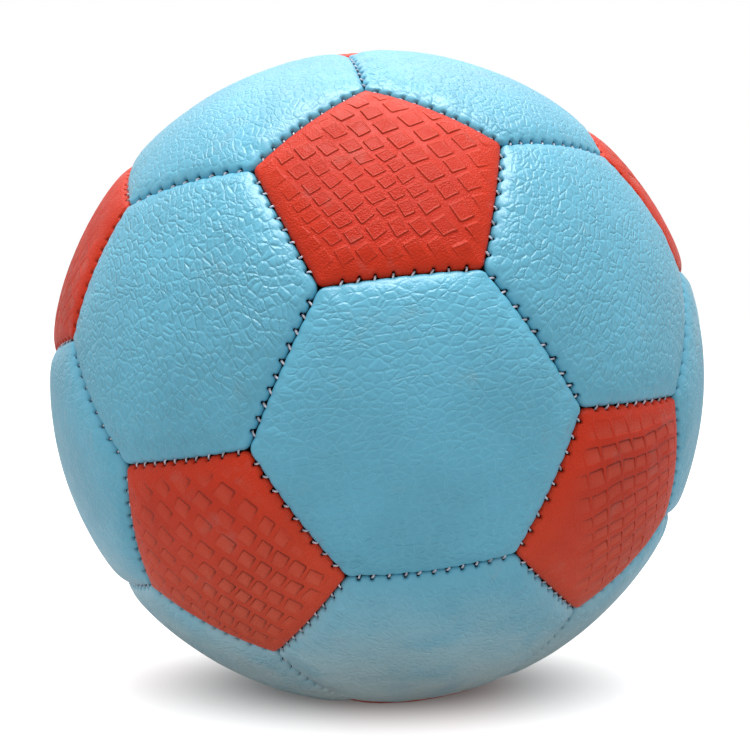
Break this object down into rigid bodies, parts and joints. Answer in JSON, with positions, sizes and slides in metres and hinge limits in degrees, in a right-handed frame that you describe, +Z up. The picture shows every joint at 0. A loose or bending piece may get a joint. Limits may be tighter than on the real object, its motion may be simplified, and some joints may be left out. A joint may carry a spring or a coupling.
{
  "type": "handball",
  "caption": "Sewn ball for the team sport handball: red pentagon and blue hexagon leather panels, backed with foam and cloth, over an air bladder with a needle valve.",
  "frame": {"origin": "centre of the ball, which is the centre of its bounding box", "axes": "+Z up as the ball lies, -Y towards the side that the picture shows; the panel layout is turned about X, Y and Z to lie as it does there, with the valve on the far side"},
  "size_m": [0.175, 0.175, 0.175],
  "materials": {
    "red_leather": "matte synthetic leather, embossed with raised grip tiles",
    "blue_leather": "soft pearly synthetic leather with a pebble grain",
    "foam": "closed cell foam backing",
    "cloth": "woven cotton and polyester lining",
    "thread": "waxed polyester thread",
    "bladder_rubber": "smooth butyl rubber",
    "valve_rubber": "moulded rubber",
    "patch_cloth": "coated reinforcing cloth"
  },
  "bodies": {
    "root": {"pentagon_panel_01": "red_leather", "pentagon_panel_02": "red_leather", "pentagon_panel_03": "red_leather", "pentagon_panel_04": "red_leather", "pentagon_panel_05": "red_leather", "pentagon_panel_06": "red_leather", "pentagon_panel_07": "red_leather", "pentagon_panel_08": "red_leather", "pentagon_panel_09": "red_leather", "pentagon_panel_10": "red_leather", "pentagon_panel_11": "red_leather", "pentagon_panel_12": "red_leather", "hexagon_panel_01": "blue_leather", "hexagon_panel_02": "blue_leather", "hexagon_panel_03": "blue_leather", "hexagon_panel_04": "blue_leather", "hexagon_panel_05": "blue_leather", "hexagon_panel_06": "blue_leather", "hexagon_panel_07": "blue_leather", "hexagon_panel_08": "blue_leather", "hexagon_panel_09": "blue_leather", "hexagon_panel_10": "blue_leather", "hexagon_panel_11": "blue_leather", "hexagon_panel_12": "blue_leather", "hexagon_panel_13": "blue_leather", "hexagon_panel_14": "blue_leather", "hexagon_panel_15": "blue_leather", "hexagon_panel_16": "blue_leather", "hexagon_panel_17": "blue_leather", "hexagon_panel_18": "blue_leather", "hexagon_panel_19": "blue_leather", "valve_panel": "blue_leather", "pentagon_foam_backings": "foam", "hexagon_foam_backings": "foam", "pentagon_cloth_linings": "cloth", "hexagon_cloth_linings": "cloth", "pentagon_seam_threads": "thread", "hexagon_seam_threads": "thread", "bladder": "bladder_rubber", "valve_seat": "valve_rubber", "valve_plug": "valve_rubber", "valve_patch": "patch_cloth"}
  },
  "joints": []
}
